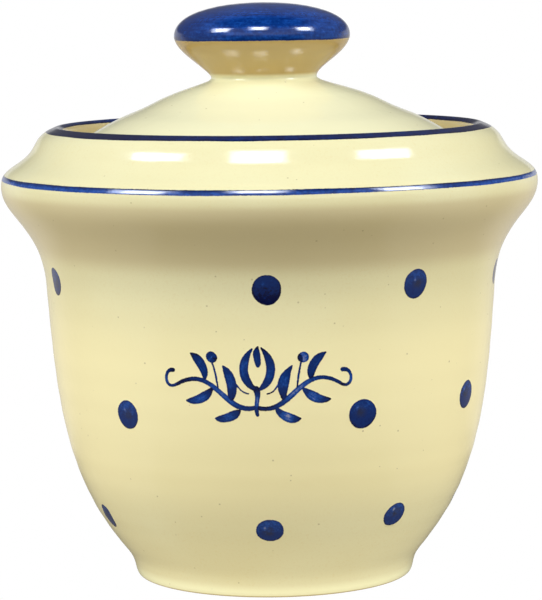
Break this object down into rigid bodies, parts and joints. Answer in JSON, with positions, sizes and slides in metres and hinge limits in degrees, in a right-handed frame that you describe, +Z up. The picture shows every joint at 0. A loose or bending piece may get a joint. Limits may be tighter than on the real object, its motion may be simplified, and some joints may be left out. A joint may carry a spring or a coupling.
{
  "type": "salt pig",
  "caption": "Lidded salt jar in glazed earthenware: a footed, flared pot with a shoulder and a rolled lip, and a domed drop-in lid with a mushroom knob.",
  "frame": {"origin": "middle of the foot ring, on the table it stands on", "axes": "+Z up, along the jar's turning axis and the lid's lift; -Y towards the decorated front, +X to the right of someone facing that front"},
  "size_m": [0.121, 0.121, 0.1292],
  "materials": {
    "cream_glaze": "gloss",
    "cobalt_paint": "gloss",
    "bare_clay": "matte"
  },
  "bodies": {
    "pot": {"pot": "cream_glaze"},
    "lid": {"lid": "cream_glaze"}
  },
  "joints": [
    {"name": "lid_lift", "type": "slide", "parent": "pot", "child": "lid", "axis": [0, 0, 1], "range_m": [0, 0.06]}
  ]
}
